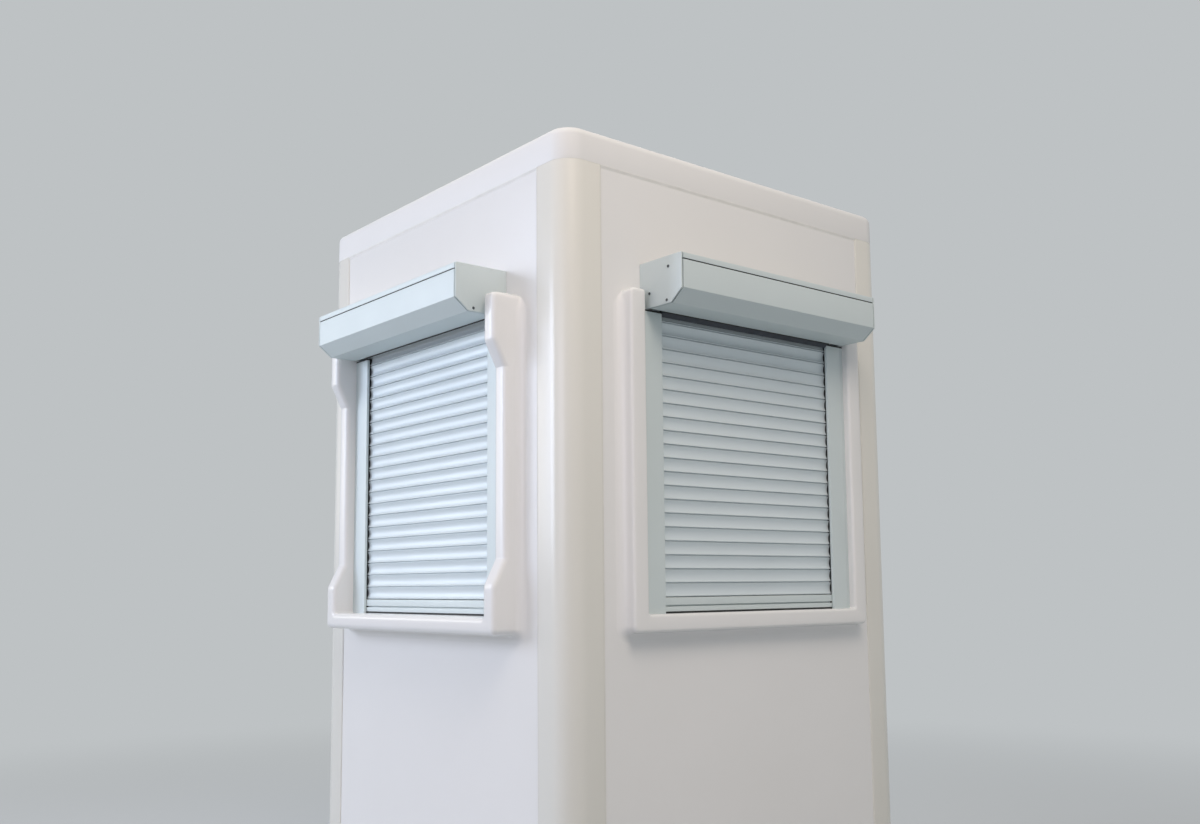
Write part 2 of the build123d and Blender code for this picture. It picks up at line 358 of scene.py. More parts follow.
# Roof
# One fibreglass cap with a flat top, a round-edged rim flush with the posts, and a hollow
# underside. It sits on the posts and panels, and its lower edge is eased where it meets them.
roof_thickness = 40 * mm
roof_top_edge = 24 * mm
roof_foot_edge = 1.5 * mm
low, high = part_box("roof")
roof_half = high.x

# Weathered gelcoat: the same white, dulled by sun and rain to a soft sheen.
dulled_gelcoat = gelcoat_finish("dulled_gelcoat", *whites, (0.4, 0.5))


def roof_ring(depth, height, corner=post_radius, half=roof_half):
    """Points round the roof, moved in from its outline by depth, at a height."""
    corners = inset(oblong(-half, -half, half, half, corner), depth)
    return [Vector((a, b, height)) for a, b in rounded(corners, smooth_steps)]


rings = [roof_ring(0, up, room_corner, room_half) for up in (high.z - roof_thickness, low.z)]
rings += [roof_ring(depth, low.z + back) for depth, back in easing(roof_foot_edge, 4)[::-1]]
rings += [roof_ring(depth, high.z - back) for depth, back in easing(roof_top_edge, 8)]
roof = piece("roof_cap", [loft(rings)], dulled_gelcoat)
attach(roof, "root")
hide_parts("roof")

# Seam sealant
# Thin beads of off-white silicone, run by hand into the joints between posts and panels and round
# under the roof's rim. On the head of each panel a broader one is smoothed down.
bead_radius = 2.4 * mm
bead_out = 0.2 * mm
bead_sides = 8
rim_set_back = 0.1 * mm
head_bead_radius = 12 * mm
head_bead_out = 3.2 * mm
silicone_white = "#E2E1DD"
satin = {"size": 40 * mm, "detail": 5.0, "roughness": 0.45}

# Silicone sealant: an off-white with a little dirt on it, and a low satin shine. The broad bead on
# the panels' heads under the rim is drawn near white as painted light, to lift the shade there.
silicone = new_finish("silicone_sealant", silicone_white, "#D5D3CD", **satin)
lightened_silicone = new_finish("lightened_silicone_sealant", "#FAF9F6", silicone_white, **satin)


def new_tree(name, **sockets):
    """An empty geometry tree with named inputs: the tree, and what its inputs give."""
    tree = bpy.data.node_groups.new(name, "GeometryNodeTree")
    tree.interface.new_socket("Geometry", in_out="INPUT", socket_type="NodeSocketGeometry")
    for label, kind in sockets.items():
        tree.interface.new_socket(label, in_out="INPUT", socket_type=f"NodeSocket{kind}")
    tree.interface.new_socket("Geometry", in_out="OUTPUT", socket_type="NodeSocketGeometry")
    return tree, add_node(tree, "NodeGroupInput").outputs


def end_tree(tree, given, kind, inputs):
    """Ends a tree with a node of a kind, and makes what that gives a plain mesh with a finish."""
    real = add_node(tree, "GeometryNodeRealizeInstances", {0: add_node(tree, kind, inputs)})
    coated = add_node(tree, "GeometryNodeSetMaterial", {0: real, "Material": given["Finish"]})
    add_node(tree, "NodeGroupOutput", {0: coated})


def grow(seed, tree, sharp=35, **values):
    """Runs a tree on an object with the given inputs, and leaves the result as its plain mesh."""
    modifier = seed.modifiers.new(tree.name, "NODES")
    modifier.node_group = tree
    for socket in tree.interface.items_tree:
        if socket.in_out == "INPUT" and socket.name in values:
            modifier[socket.identifier] = values[socket.name]
    bpy.context.view_layer.update()
    graph = bpy.context.evaluated_depsgraph_get()
    mesh = bpy.data.meshes.new_from_object(seed.evaluated_get(graph))
    seed.modifiers.clear()
    seed.data = mesh
    soften(mesh, sharp)
    return seed


def lines(name, runs):
    """An object of plain edges along runs of points. A run that ends where it began is closed."""
    mesh = bpy.data.meshes.new(name)
    points, edges = [], []
    for run in runs:
        first = len(points)
        closed = (run[0] - run[-1]).length < 0.01 * mm
        points += run[:-1] if closed else run
        edges += [(i, i + 1) for i in range(first, len(points) - 1)]
        if closed:
            edges.append((len(points) - 1, first))
    mesh.from_pydata(points, edges, [])
    return link_object(name, mesh)


bead_tree, given = new_tree("bead_along_a_joint", Radius="Float", Finish="Material")
path = add_node(bead_tree, "GeometryNodeMeshToCurve", {0: given["Geometry"]})
circle = {"Resolution": bead_sides, "Radius": given["Radius"]}
section = add_node(bead_tree, "GeometryNodeCurvePrimitiveCircle", circle)
sweep = {"Curve": path, "Profile Curve": section, "Fill Caps": True}
end_tree(bead_tree, given, "GeometryNodeCurveToMesh", sweep)

low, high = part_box("front_wall")
wall_foot, wall_head, seam_side = low.z, high.z, high.x
head_in = head_bead_out - head_bead_radius
seam_runs, head_runs = [], []
for side in walls:
    at = on_wall(side)
    head_runs.append([at(head_in, wall_head, hand * seam_side) for hand in (-1, 1)])
    for hand in (-1, 1):
        seam_runs.append([at(bead_out, up, hand * seam_side) for up in (wall_foot, wall_head)])
rim_ring = roof_ring(bead_radius + rim_set_back, wall_head)
seam_runs.append(rim_ring + rim_ring[:1])
sealant = grow(lines("seam_sealant", seam_runs), bead_tree, Radius=bead_radius, Finish=silicone)
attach(sealant, "root")
# The head bead's near-white is painted light that lifts the shade under the rim's overhang.
head_lines = lines("wall_head_sealant", head_runs)
head_sealant = grow(head_lines, bead_tree, Radius=head_bead_radius, Finish=lightened_silicone)
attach(head_sealant, "root")

# Window surrounds
# Moulded U-shaped trims of the walls' gelcoat, bonded on round each shutter and blended into the
# wall with a hollow fillet. The left one is deeper and steps back between sloped shoulders.
cheek_width = 53 * mm
cheek_height = 855 * mm
cheek_foot = 4 * mm
sill_front = 47 * mm
surround_corner = 18 * mm
inner_corner = 6 * mm
plain_depth = 44 * mm
plain_edge = 9 * mm
step_depth = 88 * mm
step_edge = 15 * mm
step_slope = 70 * mm
shoulder_radius = 40 * mm
recess_depth = 52 * mm
recess_foot, recess_foot_radius = 150 * mm, 10 * mm
recess_head, recess_head_radius = 655 * mm, 8 * mm
profile_overrun = 10 * mm
profile_foot, profile_head = 12 * mm, 20 * mm
surround_cove = 26 * mm
cove_least = 0.2 * mm
cove_start = 4 * mm
cove_run = 36 * mm
cove_levels = (30 * mm, 40 * mm)
rail_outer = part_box("right_rail_right")[1].y
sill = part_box("front_bottom_bar")[0].z
surround_out = rail_outer + cheek_width
surround_foot = sill - sill_front
surround_head = sill + cheek_height

windows = {}
for side in ("front", "left", "right"):
    low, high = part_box(f"{side}_curtain")
    middle = ((low + high) / 2).dot(walls[side][0])
    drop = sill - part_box(f"{side}_bottom_bar")[0].z
    windows[side] = on_wall(side, middle, drop)


def surround_section(at, outside, inside, way, depth, cove, edge):
    """Closed section of a surround, from the wall outside it over its front to the wall inside."""
    points = []
    for base, run, foot, rise, turns in (
        (outside, way, 0, 1, easing(cove, 6)[::-1]),
        (outside, -way, depth, -1, easing(edge, 5)),
        (inside, way, depth, -1, easing(edge, 5)[::-1]),
    ):
        for across, out in turns:
            place = base + run * across
            points.append(at(foot + rise * out, place.y, place.x))
    return points + [at(0, inside.y, inside.x)]


def depth_at(profile, up):
    """How far a surround stands out at a height, read along its side profile."""
    for (low, near), (high, far) in zip(profile, profile[1:]):
        if low <= up <= high:
            return near + (far - near) * (up - low) / max(high - low, 1e-9)
    return profile[-1][1]


def bite(radius, t):
    """How much a rounding takes off at a distance from its end."""
    return radius - sqrt(max(radius**2 - max(radius - t, 0) ** 2, 0))


def surround(at, profile, edge):
    """Skin of a surround, one section after another: down a cheek, along the sill and up again."""
    levels = {surround_head - depth for depth, _ in easing(surround_corner, 6)}
    levels |= {surround_head - t for t in cove_levels}
    levels.add(sill + inner_corner + cheek_foot)
    levels |= {up for up, _ in profile if sill + profile_foot < up < surround_head - profile_head}
    half = []
    for up in sorted(levels, reverse=True):
        t = surround_head - up
        outside = Vector((-surround_out + bite(surround_corner, t), up))
        depth = depth_at(profile, up) - bite(edge, t)
        cove = surround_cove * min(max(t - cove_start, cove_least) / cove_run, 1)
        half.append((outside, Vector((-rail_outer, up)), Vector((-1, 0)), depth, cove))
    for t in quarter(8):
        way = Vector((-cos(t), -sin(t)))
        outside = Vector((-surround_out, surround_foot)) + (Vector((1, 1)) + way) * surround_corner
        inside = Vector((-rail_outer, sill)) + (Vector((1, 1)) + way) * inner_corner
        half.append((outside, inside, way, depth_at(profile, surround_foot), surround_cove))
    flip = Vector((-1, 1))
    mirrored = [[flip * place for place in station[:3]] + list(station[3:]) for station in half]
    return loft([surround_section(at, *station, edge) for station in half + mirrored[::-1]])


foot_end, head_end = surround_foot - profile_overrun, surround_head + profile_overrun
step_outline = [
    (foot_end, step_depth),
    (sill + recess_foot - step_slope, step_depth, shoulder_radius),
    (sill + recess_foot, recess_depth, recess_foot_radius),
    (sill + recess_head, recess_depth, recess_head_radius),
    (sill + recess_head + step_slope, step_depth, shoulder_radius),
    (head_end, step_depth),
    (head_end, 0),
    (foot_end, 0),
]
step_profile = sorted(tuple(place) for place in rounded(step_outline, steps=8) if place.y > 0)
plain_profile = [(foot_end, plain_depth), (head_end, plain_depth)]
for side, at in windows.items():
    profile, edge = (step_profile, step_edge) if side == "left" else (plain_profile, plain_edge)
    trim = piece(f"{side}_surround", [surround(at, profile, edge)], gelcoat, sharp=40)
    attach(trim, "root")
    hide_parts(f"{side}_window_surround")

# Guide rails
# Pairs of extruded aluminium channels screwed to the wall beside each window. They are powder
# coated pale grey, and each is slotted along its inner side for the ends of the slats.
coat_dust = "#C3C2BA"
dust_start, dust_most = 0.5, 0.6
rail_edge = 1.5 * mm
rail_lip_edge = 0.5 * mm
rail_back = 2 * mm
rail_slot = 12 * mm
rail_slot_depth = 25 * mm
rail_packing = 4 * mm
rail_groove_in = 9 * mm
rail_groove_width = 2 * mm
rail_groove_depth = 1.2 * mm


def coat_finish(name, light, shade, **shine):
    """Paint on aluminium: pale blue grey, faintly uneven in shine, and dusty where it faces up."""
    finish = new_finish(name, light, shade, size=250 * mm, detail=4.0, **shine)
    tree = finish.node_tree
    normal = add_node(tree, "ShaderNodeNewGeometry").outputs["Normal"]
    facing = add_node(tree, "ShaderNodeSeparateXYZ", {0: normal}).outputs["Z"]
    span = {0: facing, 1: dust_start, 2: 1.0, 3: 0.0, 4: dust_most}
    settled = add_node(tree, "ShaderNodeMapRange", span)
    lay_over(finish, settled, coat_dust)
    add_grain(finish, size=4 * mm, detail=3.0, strength=0.08)
    return finish


# Powder coat on aluminium: a fine even texture and a soft shine with a trace of metal in it. The
# grain is drawn coarser than real, so that it shows.
powder_coat = coat_finish(
    "powder_coat_on_aluminium", "#D5DFE0", "#CDD7D8", roughness=(0.46, 0.58), metallic=0.15
)


def uprights(corners, at, low, high):
    """A left and a right upright of one section, which is given across the wall and out from it."""
    return [slab(corners, lambda a, b, run: at(b, run, hand * a), low, high) for hand in (-1, 1)]


low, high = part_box("right_rail_right")
rail_front = high.x - wall_face
window_half = low.y
window_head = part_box("front_rail_left")[1].z
lip_back = rail_back + rail_slot
slot_side = window_half + rail_slot_depth
groove_side, groove_floor = rail_outer - rail_groove_in, rail_front - rail_groove_depth
rail_corners = [
    (window_half, 0),
    (rail_outer, 0),
    (rail_outer, rail_front, rail_edge),
    (groove_side, rail_front),
    (groove_side, groove_floor),
    (groove_side - rail_groove_width, groove_floor),
    (groove_side - rail_groove_width, rail_front),
    (window_half, rail_front, rail_edge),
    (window_half, lip_back, rail_lip_edge),
    (slot_side, lip_back),
    (slot_side, rail_back),
    (window_half, rail_back),
]
for side, at in windows.items():
    pair = uprights(rail_corners, at, sill, window_head - rail_packing)
    rails = piece(f"{side}_guide_rails", pair, powder_coat)
    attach(rails, "root")
    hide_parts(f"{side}_rail_left", f"{side}_rail_right")

# Pile strips
# Black brush strips set in the slots of the rails, behind their lips. A dense backing carries short
# bristles that rub on the slats and keep out rain and rattle.
dull_lint = {"size": 15 * mm, "detail": 4.0, "roughness": 0.8}
pile_set_back = 1.5 * mm
pile_width = 5 * mm
pile_depth = 9 * mm
bristle_gap = 2.5 * mm
bristle_length = 5 * mm
bristle_radius = 0.7 * mm
bristle_tip = 0.2 * mm
bristle_sides = 5
bristle_foot = 5 * mm
shortest, longest = 0.85, 1.1

# Polypropylene pile: dull and dark, a little greyer where dust sticks to it.
pile = new_finish("polypropylene_pile", "#17181A", "#2C2E31", **dull_lint)

sockets = {"Gap": "Float", "Length": "Float", "Radius": "Float", "Lean": "Vector"}
pile_tree, given = new_tree("bristles_along_a_strip", **sockets, Seed="Int", Finish="Material")
path = add_node(pile_tree, "GeometryNodeMeshToCurve", {0: given["Geometry"]})
steps = {"Curve": path, "Length": given["Gap"]}
spots = add_node(pile_tree, "GeometryNodeCurveToPoints", steps, mode="LENGTH")
taper = {"Radius Top": bristle_tip, "Radius Bottom": given["Radius"], "Depth": given["Length"]}
bristle = add_node(pile_tree, "GeometryNodeMeshCone", {"Vertices": bristle_sides, **taper})
lean = add_node(pile_tree, "FunctionNodeAlignRotationToVector", {"Vector": given["Lean"]}, axis="Z")
span = {2: shortest, 3: longest, "Seed": given["Seed"]}
uneven = add_node(pile_tree, "FunctionNodeRandomValue", span, data_type="FLOAT").outputs[1]
tufts = {"Points": spots, "Instance": bristle, "Rotation": lean, "Scale": uneven}
end_tree(pile_tree, given, "GeometryNodeInstanceOnPoints", tufts)

pile_face = window_half + pile_set_back
root_out = lip_back - bristle_length / 2
root_ends = (sill + bristle_foot, window_head)
strip_corners = oblong(pile_face, lip_back - pile_depth, pile_face + pile_width, lip_back)
for number, (side, at) in enumerate(windows.items()):
    strips = piece(f"{side}_pile_backing", uprights(strip_corners, at, sill, window_head), pile)
    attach(strips, "root")
    roots = [[at(root_out, up, hand * pile_face) for up in root_ends] for hand in (-1, 1)]
    bristles = grow(
        lines(f"{side}_pile_bristles", roots), pile_tree, sharp=60,
        Gap=bristle_gap, Length=bristle_length, Radius=bristle_radius,
        Lean=-walls[side][1], Seed=number, Finish=pile,
    )
    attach(bristles, "root")

# Shutter curtains
# Roll-formed aluminium slats, coated the same pale grey and hooked into each other along their
# edges. They are hollow to the outside, so the lower lip of each one catches the light.
slat_pitch = 37 * mm
slat_joint = 3 * mm
slat_joint_floor = 2 * mm
slat_hollow = 5 * mm
slat_flare = 2.2 * mm
flare_power = 10
slat_set_back = 2 * mm
slat_lip = 1.4 * mm
slat_tilt = radians(0.5)
slat_seed = 11
hollow_steps = 14
low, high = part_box("right_curtain")
slat_half = high.y
slat_back = low.x - wall_face
slat_front = high.x - wall_face
slat_count = round((high.z - low.z) / slat_pitch)
joint_floor = slat_back + slat_joint_floor

lip_low, lip_high = slat_joint / 2, slat_pitch - slat_joint / 2
slat_corners = [(slat_back, 0), (joint_floor, 0), (joint_floor, lip_low)]
slat_corners.append((slat_front, lip_low, slat_lip))
for step in range(1, hollow_steps):
    rise = step / hollow_steps
    depth = 4 * slat_hollow * rise * (1 - rise) + slat_set_back * rise
    depth += slat_flare * (1 - (1 - rise) ** flare_power) * (1 - rise)
    slat_corners.append((slat_front - depth, lip_low + (lip_high - lip_low) * rise))
slat_corners.append((slat_front - slat_set_back, lip_high, slat_lip / 2))
slat_corners += [(joint_floor, lip_high), (joint_floor, slat_pitch), (slat_back, slat_pitch)]

# Coil coating on aluminium: baked on before the slats were rolled, and silkier. Its paler grey is
# painted light, standing in for the light the slats' lips catch beside the boxes and rails.
coil_coat = coat_finish(
    "coil_coated_aluminium", "#DCE6EA", "#D4DEE2", roughness=(0.46, 0.56), metallic=0.25
)

sockets = {"Number": "Int", "Step": "Vector", "Axis": "Vector", "Tilt": "Float"}
row_tree, given = new_tree("row_of_like_pieces", **sockets, Seed="Int", Finish="Material")
steps = {"Count": given["Number"], "Offset": given["Step"]}
spots = add_node(row_tree, "GeometryNodeMeshLine", steps, mode="OFFSET")
least = add_node(row_tree, "ShaderNodeMath", {0: given["Tilt"], 1: -1.0}, operation="MULTIPLY")
span = {2: least, 3: given["Tilt"], "Seed": given["Seed"]}
tilt = add_node(row_tree, "FunctionNodeRandomValue", span, data_type="FLOAT").outputs[1]
turn = {"Axis": given["Axis"], "Angle": tilt}
turned = add_node(row_tree, "FunctionNodeAxisAngleToRotation", turn)
row = {"Points": spots, "Instance": given["Geometry"], "Rotation": turned}
end_tree(row_tree, given, "GeometryNodeInstanceOnPoints", row)

for number, (side, at) in enumerate(windows.items()):
    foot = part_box(f"{side}_curtain")[0].z
    middle_line = at((slat_back + slat_front) / 2, 0, 0)
    middle_line.z = foot + slat_pitch / 2
    move = Vector((0, 0, foot - at(0, 0, 0).z)) - middle_line
    slat = slab(slat_corners, lambda *place: at(*place) + move, -slat_half, slat_half)
    curtain = grow(
        piece(f"{side}_slats", [slat], coil_coat), row_tree,
        Number=slat_count, Step=Vector((0, 0, slat_pitch)), Axis=walls[side][0],
        Tilt=slat_tilt, Seed=slat_seed + number, Finish=coil_coat,
    )
    curtain.data.transform(Matrix.Translation(middle_line))
    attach(curtain, "root")
    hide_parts(f"{side}_curtain")

# Bottom bars
# An extruded bar that closes each curtain, powder coated like the rails. A groove runs along it,
# and a black rubber foot in its lower edge seals on the sill.
bar_height = 42 * mm
bar_foot_edge = 1 * mm
bar_head_edge = 1.5 * mm
bar_groove = 20 * mm
bar_groove_half = 2 * mm
bar_groove_depth = 7 * mm
bar_groove_edge = 0.5 * mm
rubber_foot = 5 * mm
rubber_set_back = 1 * mm
rubber_edge = 1 * mm

# EPDM rubber: near black and dull, with a grey bloom.
rubber = new_finish("epdm_rubber", "#1B1C1D", "#343536", size=25 * mm, detail=4.0, roughness=0.65)

foot_head = sill + rubber_foot
groove_low, groove_high = sill + bar_groove - bar_groove_half, sill + bar_groove + bar_groove_half
bar_corners = [
    (slat_back, foot_head),
    (slat_front, foot_head, bar_foot_edge),
    (slat_front, groove_low, bar_groove_edge),
    (slat_front - bar_groove_depth, groove_low),
    (slat_front - bar_groove_depth, groove_high),
    (slat_front, groove_high, bar_groove_edge),
    (slat_front, sill + bar_height, bar_head_edge),
    (slat_back, sill + bar_height),
]
foot_back, foot_front = slat_back + rubber_set_back, slat_front - rubber_set_back
foot_corners = oblong(foot_back, sill, foot_front, foot_head, 0, rubber_edge, 0, 0)
for side, at in windows.items():
    bar = piece(f"{side}_closing_bar", [slab(bar_corners, at, -slat_half, slat_half)], powder_coat)
    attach(bar, "root")
    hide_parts(f"{side}_bottom_bar")
    seal = piece(f"{side}_bar_seal", [slab(foot_corners, at, -slat_half, slat_half)], rubber)
    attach(seal, "root")

# Shutter boxes
# Folded aluminium housings for the rolled curtain, screwed to the wall over each window and powder
# coated. The front is chamfered below, and a groove shows where the lift-off cover hooks in.
box_sheet = 2 * mm
box_fold = 2.5 * mm
box_slot = 34 * mm
box_hem = 12 * mm
box_back_foot = 50 * mm
box_front_height = 94 * mm
chamfer = 42 * mm
inner_fold = 1 * mm
cover_edge = 0.4 * mm
cover_foot_edge = 0.8 * mm
cover_groove_drop = 17 * mm
cover_groove = 3.2 * mm
cover_groove_depth = 7 * mm
cap_gap = 3.5 * mm
cap_thickness = 4 * mm
cap_edge = 1.2 * mm
cap_head_corner = 2 * mm
cap_corner = 3 * mm
low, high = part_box("right_shutter_box")
box_out = high.x - wall_face
box_head, box_foot = high.z, low.z
box_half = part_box("right_box_cap_right")[1].y
front_foot = box_head - box_front_height
back_foot = box_foot + box_back_foot
hem_head = box_foot + box_hem
cover_low = box_head - cover_groove_drop - cover_groove / 2
cover_high = cover_low + cover_groove
cover_floor = box_out - cover_groove_depth
shell_corners = [
    (0, back_foot),
    (0, box_head),
    (box_out, box_head, box_fold),
    (box_out, cover_high, cover_edge),
    (cover_floor, cover_high),
    (cover_floor, cover_low),
    (box_out, cover_low, cover_foot_edge),
    (box_out, front_foot, box_fold),
    (box_out - chamfer, box_foot, box_fold),
    (box_slot, box_foot, cover_foot_edge),
    (box_slot, hem_head),
    (box_slot + box_sheet, hem_head),
    (box_slot + box_sheet, box_foot + box_sheet),
    (box_out - chamfer - inner_fold, box_foot + box_sheet),
    (cover_floor - box_sheet, front_foot + inner_fold),
    (cover_floor - box_sheet, box_head - box_sheet),
    (box_sheet, box_head - box_sheet),
    (box_sheet, back_foot),
]
cap_corners = [
    (0, box_foot),
    (0, box_head),
    (box_out, box_head, cap_head_corner),
    (box_out, front_foot, cap_corner),
    (box_out - chamfer, box_foot, cap_corner),
]
cap_inner = box_half - cap_thickness
shell_half = cap_inner - cap_gap
for side, at in windows.items():
    shell = slab(shell_corners, at, -shell_half, shell_half)
    housing = piece(f"{side}_box_shell", [shell], powder_coat)
    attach(housing, "root")
    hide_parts(f"{side}_shutter_box")
    ends = [slab(cap_corners, at, hand * cap_inner, hand * box_half, cap_edge) for hand in (-1, 1)]
    caps = piece(f"{side}_box_caps", ends, powder_coat)
    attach(caps, "root")
    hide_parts(f"{side}_box_cap_left", f"{side}_box_cap_right")

# Box seals
# Black rubber: a gasket in the cover's groove, a thin lip along the outlet of each box and a packing
# on the head of each rail. The front and right outlets also have a dark grey pile strip behind the
# lip. It is painted shade: it stands in for the deep shade under those two boxes.
gasket_set_back = 1.5 * mm
lip_width = 4 * mm
lip_drop = 2.5 * mm
lip_height = 10 * mm
lip_edge = 1 * mm
# How far the dark strip of painted shade hangs below the box.
shade_strip_drop = 10 * mm
shade_strip_sides = ("front", "right")
lip_in, lip_foot, lip_head = box_slot - lip_width, box_foot - lip_drop, box_foot + lip_height
shade_strip_foot = box_foot - shade_strip_drop
gasket_corners = oblong(cover_floor, cover_low, box_out - gasket_set_back, cover_high)
packing_corners = oblong(0, window_head - rail_packing, rail_front, window_head)
lip_corners = oblong(lip_in, lip_foot, box_slot, lip_head, lip_edge, lip_edge, 0, 0)
shade_strip_corners = [(slat_front, shade_strip_foot), (slat_front + lip_width, shade_strip_foot)]
shade_strip_corners += [(lip_in, box_foot), (lip_in, lip_head), (slat_front, lip_head)]

# Dark grey pile as painted shade: the same dull bristle as in the rails, in a paler stock, put under
# the front and right boxes to darken the shade there.
shade_strip_pile = new_finish("painted_shade_pile", "#34383F", "#4B5058", **dull_lint)

for side, at in windows.items():
    seals = [slab(gasket_corners, at, -shell_half, shell_half)]
    seals.append(slab(lip_corners, at, -window_half, window_half))
    seals += [slab(packing_corners, at, hand * window_half, hand * rail_outer) for hand in (-1, 1)]
    seal = piece(f"{side}_box_seals", seals, rubber)
    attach(seal, "root")
    # Painted shade: a dark strip under the front and right boxes only.
    if side in shade_strip_sides:
        shade_strip_shape = slab(shade_strip_corners, at, -window_half, window_half)
        shade_strip = piece(f"{side}_outlet_brush", [shade_strip_shape], shade_strip_pile)
        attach(shade_strip, "root")

# Door frame and threshold
# Anodised aluminium jambs and head that line the doorway in the back wall, and a ribbed strip
# of the same metal on the floor between them.
drawn_line = {"size": (2 * mm, 2 * mm, 250 * mm), "detail": 2.0, "roughness": (0.34, 0.46)}
bare_metal = {"metallic": 1.0, "span": (0.3, 0.7)}
frame_edge = 2 * mm
tread_front_edge = 3 * mm
tread_back_edge = 1 * mm
rib_count = 7
rib_height = 2 * mm
rib_edge = 0.5 * mm
rib_foot_half = 1.4 * mm
rib_head_half = 0.8 * mm
rib_margin = 10 * mm
first_rib_in = 6 * mm

# Satin anodised aluminium: pale grey metal with fine lines along the extrusion, drawn 2 mm wide
# so that they show.
anodised = new_finish("satin_anodised_aluminium", "#C4C7C9", "#B2B6B9", **drawn_line, **bare_metal)

at_back = on_wall("back")
low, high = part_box("door_frame")
frame_half, frame_foot, frame_head = high.x, low.z, high.z
frame_out, frame_in = high.y - wall_face, low.y - wall_face
sill_low, sill_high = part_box("threshold")
clear_half = sill_high.x
head_foot = frame_head - (frame_half - clear_half)
jamb_corners = oblong(clear_half, frame_in, frame_half, frame_out, 0, 0, frame_edge, frame_edge)
head_corners = oblong(frame_in, head_foot, frame_out, frame_head, 0, frame_edge, frame_edge, 0)
members = uprights(jamb_corners, at_back, frame_foot, head_foot)
members.append(slab(head_corners, at_back, -frame_half, frame_half))
door_lining = piece("door_lining", members, anodised)
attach(door_lining, "root")
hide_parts("door_frame")

strip_head = sill_high.z - rib_height
tread_edges = (0, 0, tread_front_edge, tread_back_edge)
tread_corners = oblong(frame_in, sill_low.z, frame_out, strip_head, *tread_edges)
tread = piece("threshold_strip", [slab(tread_corners, at_back, -clear_half, clear_half)], anodised)
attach(tread, "root")
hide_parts("threshold")
rib_pitch = (frame_out - frame_in - rib_margin) / rib_count
rib_corners = [(-rib_foot_half, 0), (rib_foot_half, 0)]
rib_corners += [(rib_head_half, rib_height, rib_edge), (-rib_head_half, rib_height, rib_edge)]
rib = slab(rib_corners, lambda a, b, run: Vector((run, a, b)), -clear_half, clear_half)
ribs = grow(
    piece("threshold_ribs", [rib], anodised), row_tree,
    Number=rib_count, Step=Vector((0, rib_pitch, 0)), Axis=Vector((1, 0, 0)),
    Tilt=0.0, Seed=0, Finish=anodised,
)
ribs.data.transform(Matrix.Translation(at_back(frame_in + first_rib_in, strip_head, 0)))
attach(ribs, "root")

# Door leaf
# A flat panel of white gelcoat with broad margins and a shallow sunk field, hung in the frame. A
# black rubber gasket closes the gap round it.
field_margin = 110 * mm
field_depth = 4 * mm
field_slope = 9 * mm
field_corner = 22 * mm
field_steps = 8
leaf_corner = 0.5 * mm
leaf_edge = 3 * mm
gasket_radius = 2.3 * mm
gasket_set_in = 5 * mm
leaf_low, leaf_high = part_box("door_leaf")
leaf_out, leaf_in = leaf_high.y - wall_face, leaf_low.y - wall_face


def leaf_ring(depth, out, corner):
    """Points round the leaf, moved in from its edge by depth, at a distance out from the wall."""
    ends = inset(oblong(leaf_low.x, leaf_low.z, leaf_high.x, leaf_high.z), depth)
    corners = [(a, b, corner) for a, b, _ in ends]
    return [Vector((a, wall_face + out, b)) for a, b in rounded(corners, steps=6)]


rings = [leaf_ring(0, leaf_in, leaf_corner)]
for depth, back in easing(leaf_edge, 4):
    rings.append(leaf_ring(depth, leaf_out - back, leaf_corner + depth))
for step in range(field_steps + 1):
    share = step / field_steps
    fall = field_depth * (1 - cos(pi * share)) / 2
    rings.append(leaf_ring(field_margin + field_slope * share, leaf_out - fall, field_corner))
leaf = piece("door_panel", [loft(rings)], gelcoat, sharp=40)
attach(leaf, "root")
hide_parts("door_leaf")

gap = (clear_half - leaf_high.x) / 2
gasket_run = leaf_ring(-gap, leaf_out - gasket_set_in, 0)
gasket_lines = lines("door_gasket", [gasket_run + gasket_run[:1]])
gasket = grow(gasket_lines, bead_tree, Radius=gasket_radius, Finish=rubber)
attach(gasket, "root")

# Door hinges
# Two stainless steel hinges screwed over the gap between the leaf and the jamb: a flat plate and
# a barrel of five knuckles on a pin.
brush_line = {"size": (3 * mm, 3 * mm, 0.5 * mm), "detail": 3.0, "roughness": (0.3, 0.42)}
hinge_plate = 3 * mm
hinge_plate_corner = 5 * mm
hinge_edge = 1 * mm
barrel = 7 * mm
knuckles = 5
knuckle_gap = 0.8 * mm
pin_radius = 4.5 * mm
pin_set_in = 1 * mm
pin_edge = 0.5 * mm

# Brushed stainless steel: grey metal with short brush lines, drawn 3 mm long so that they show.
stainless = new_finish("brushed_stainless_steel", "#B9BBBC", "#8F9294", **brush_line, **bare_metal)


def round_bar(centre, radius, low, high, edge, sides=20, at=lambda *place: Vector(place)):
    """A round bar with eased ends about a point of the outline plane, upright unless at is given."""
    turns = [2 * pi * i / sides for i in range(sides)]
    corners = [(centre[0] + radius * cos(t), centre[1] + radius * sin(t)) for t in turns]
    return slab(corners, at, low, high, edge)


plate_face = wall_face + leaf_out
plate_end = plate_face + hinge_plate
for node in ("hinge_lower", "hinge_upper"):
    low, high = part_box(node)
    corners = oblong(low.x, low.z, high.x, high.z, hinge_plate_corner)
    plate = slab(corners, lambda a, b, run: Vector((a, run, b)), plate_face, plate_end, hinge_edge)
    shapes = [plate]
    centre = ((low.x + high.x) / 2, high.y - barrel)
    step = (high.z - low.z) / knuckles
    for i in range(knuckles):
        foot, head = low.z + i * step + knuckle_gap / 2, low.z + (i + 1) * step - knuckle_gap / 2
        shapes.append(round_bar(centre, barrel, foot, head, hinge_edge))
    pin_foot, pin_head = low.z + pin_set_in, high.z - pin_set_in
    shapes.append(round_bar(centre, pin_radius, pin_foot, pin_head, pin_edge))
    hinge = piece(node.replace("hinge_", "hinge_set_"), shapes, stainless)
    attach(hinge, "root")
    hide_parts(node)

